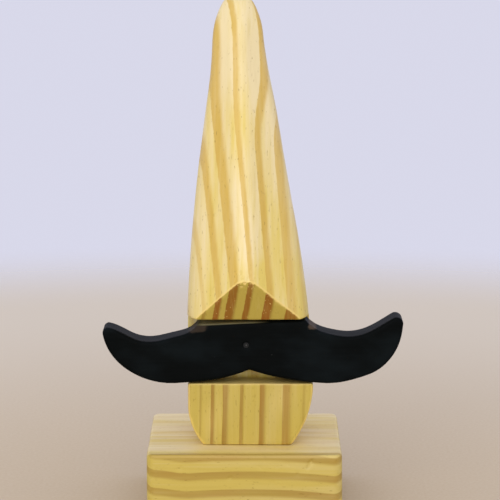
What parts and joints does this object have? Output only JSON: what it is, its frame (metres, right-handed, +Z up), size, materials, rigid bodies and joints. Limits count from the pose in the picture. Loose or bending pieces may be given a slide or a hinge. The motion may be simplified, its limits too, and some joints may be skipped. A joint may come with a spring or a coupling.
{
  "type": "eyeglasses display stand",
  "caption": "Carved pine nose on a square base with a painted moustache board, holding a pair of glasses on its bridge.",
  "frame": {"origin": "centre of the base's underside, on the surface that the stand rests on", "axes": "+Z up; -Y is the front, where the nose's tip points; +X is to the right of someone facing the front"},
  "size_m": [0.0972, 0.0637, 0.165],
  "materials": {
    "pine_base": "clear satin lacquer on pine, grain from side to side",
    "pine_nose": "clear satin lacquer on pine, grain upright",
    "black_paint": "satin black paint on wood",
    "brad_steel": "bright steel, painted over and worn through on the head",
    "screw_steel": "yellow zinc plate"
  },
  "bodies": {
    "root": {"base_block": "pine_base", "nose_post": "pine_nose", "moustache": "black_paint", "moustache_brad": "brad_steel", "base_screw_front": "screw_steel", "base_screw_rear": "screw_steel"}
  },
  "joints": []
}
